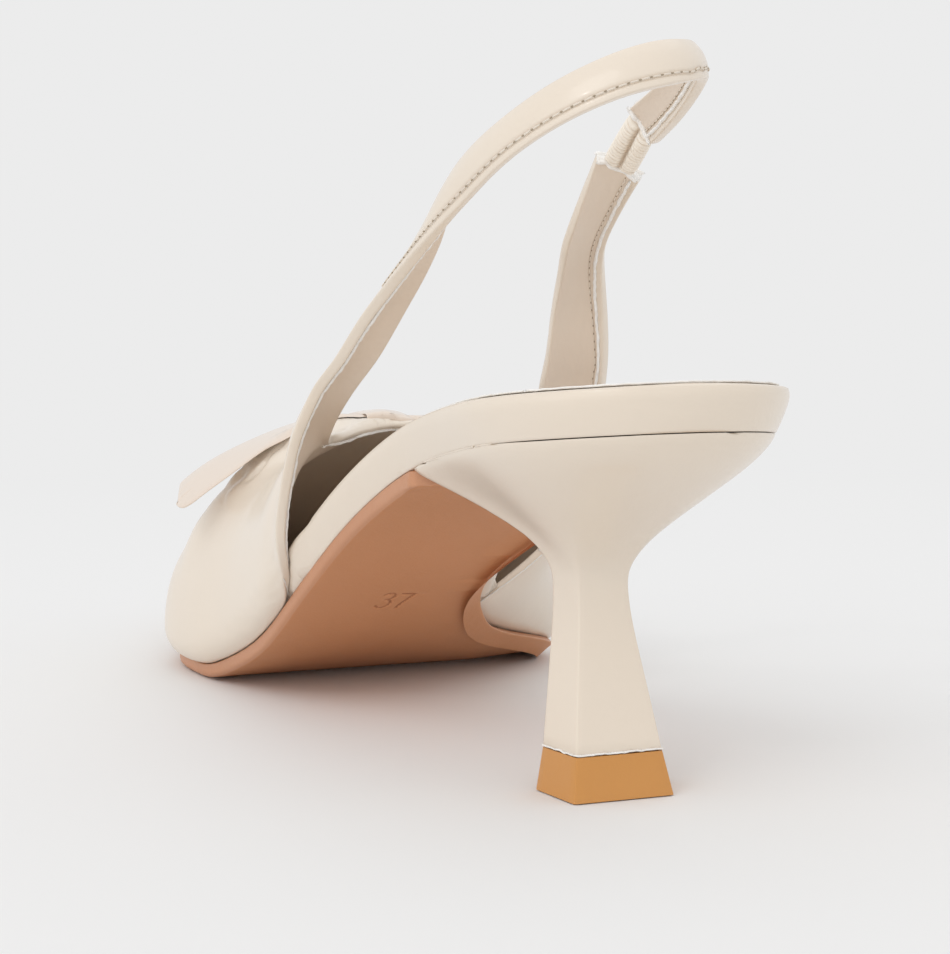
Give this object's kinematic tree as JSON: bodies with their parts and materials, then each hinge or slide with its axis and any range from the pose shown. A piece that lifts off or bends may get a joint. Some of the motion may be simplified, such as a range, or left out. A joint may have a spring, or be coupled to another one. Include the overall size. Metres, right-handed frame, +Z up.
{
  "type": "sandal",
  "caption": "Women's slingback sandal with a closed pointed vamp, a flat bow across the throat, an open back strap with a gathered elastic, and a wrapped flared heel.",
  "frame": {"origin": "middle of the heel tip, on the floor", "axes": "+Y from the heel to the toe, +X to the medial side, +Z up from the floor"},
  "size_m": [0.0849, 0.2302, 0.1147],
  "materials": {
    "cream_leather": "gloss",
    "lining_leather": "satin",
    "tan_sole": "satin",
    "amber_rubber": "satin",
    "gathered_elastic": "matte"
  },
  "bodies": {
    "root": {"outsole": "tan_sole", "heel": "cream_leather", "top_lift": "amber_rubber", "footbed": "cream_leather", "insole_sock": "lining_leather", "upper": "cream_leather", "elastic": "gathered_elastic", "bow_loop_lateral": "cream_leather", "bow_loop_medial": "cream_leather", "bow_band": "cream_leather"}
  },
  "joints": []
}
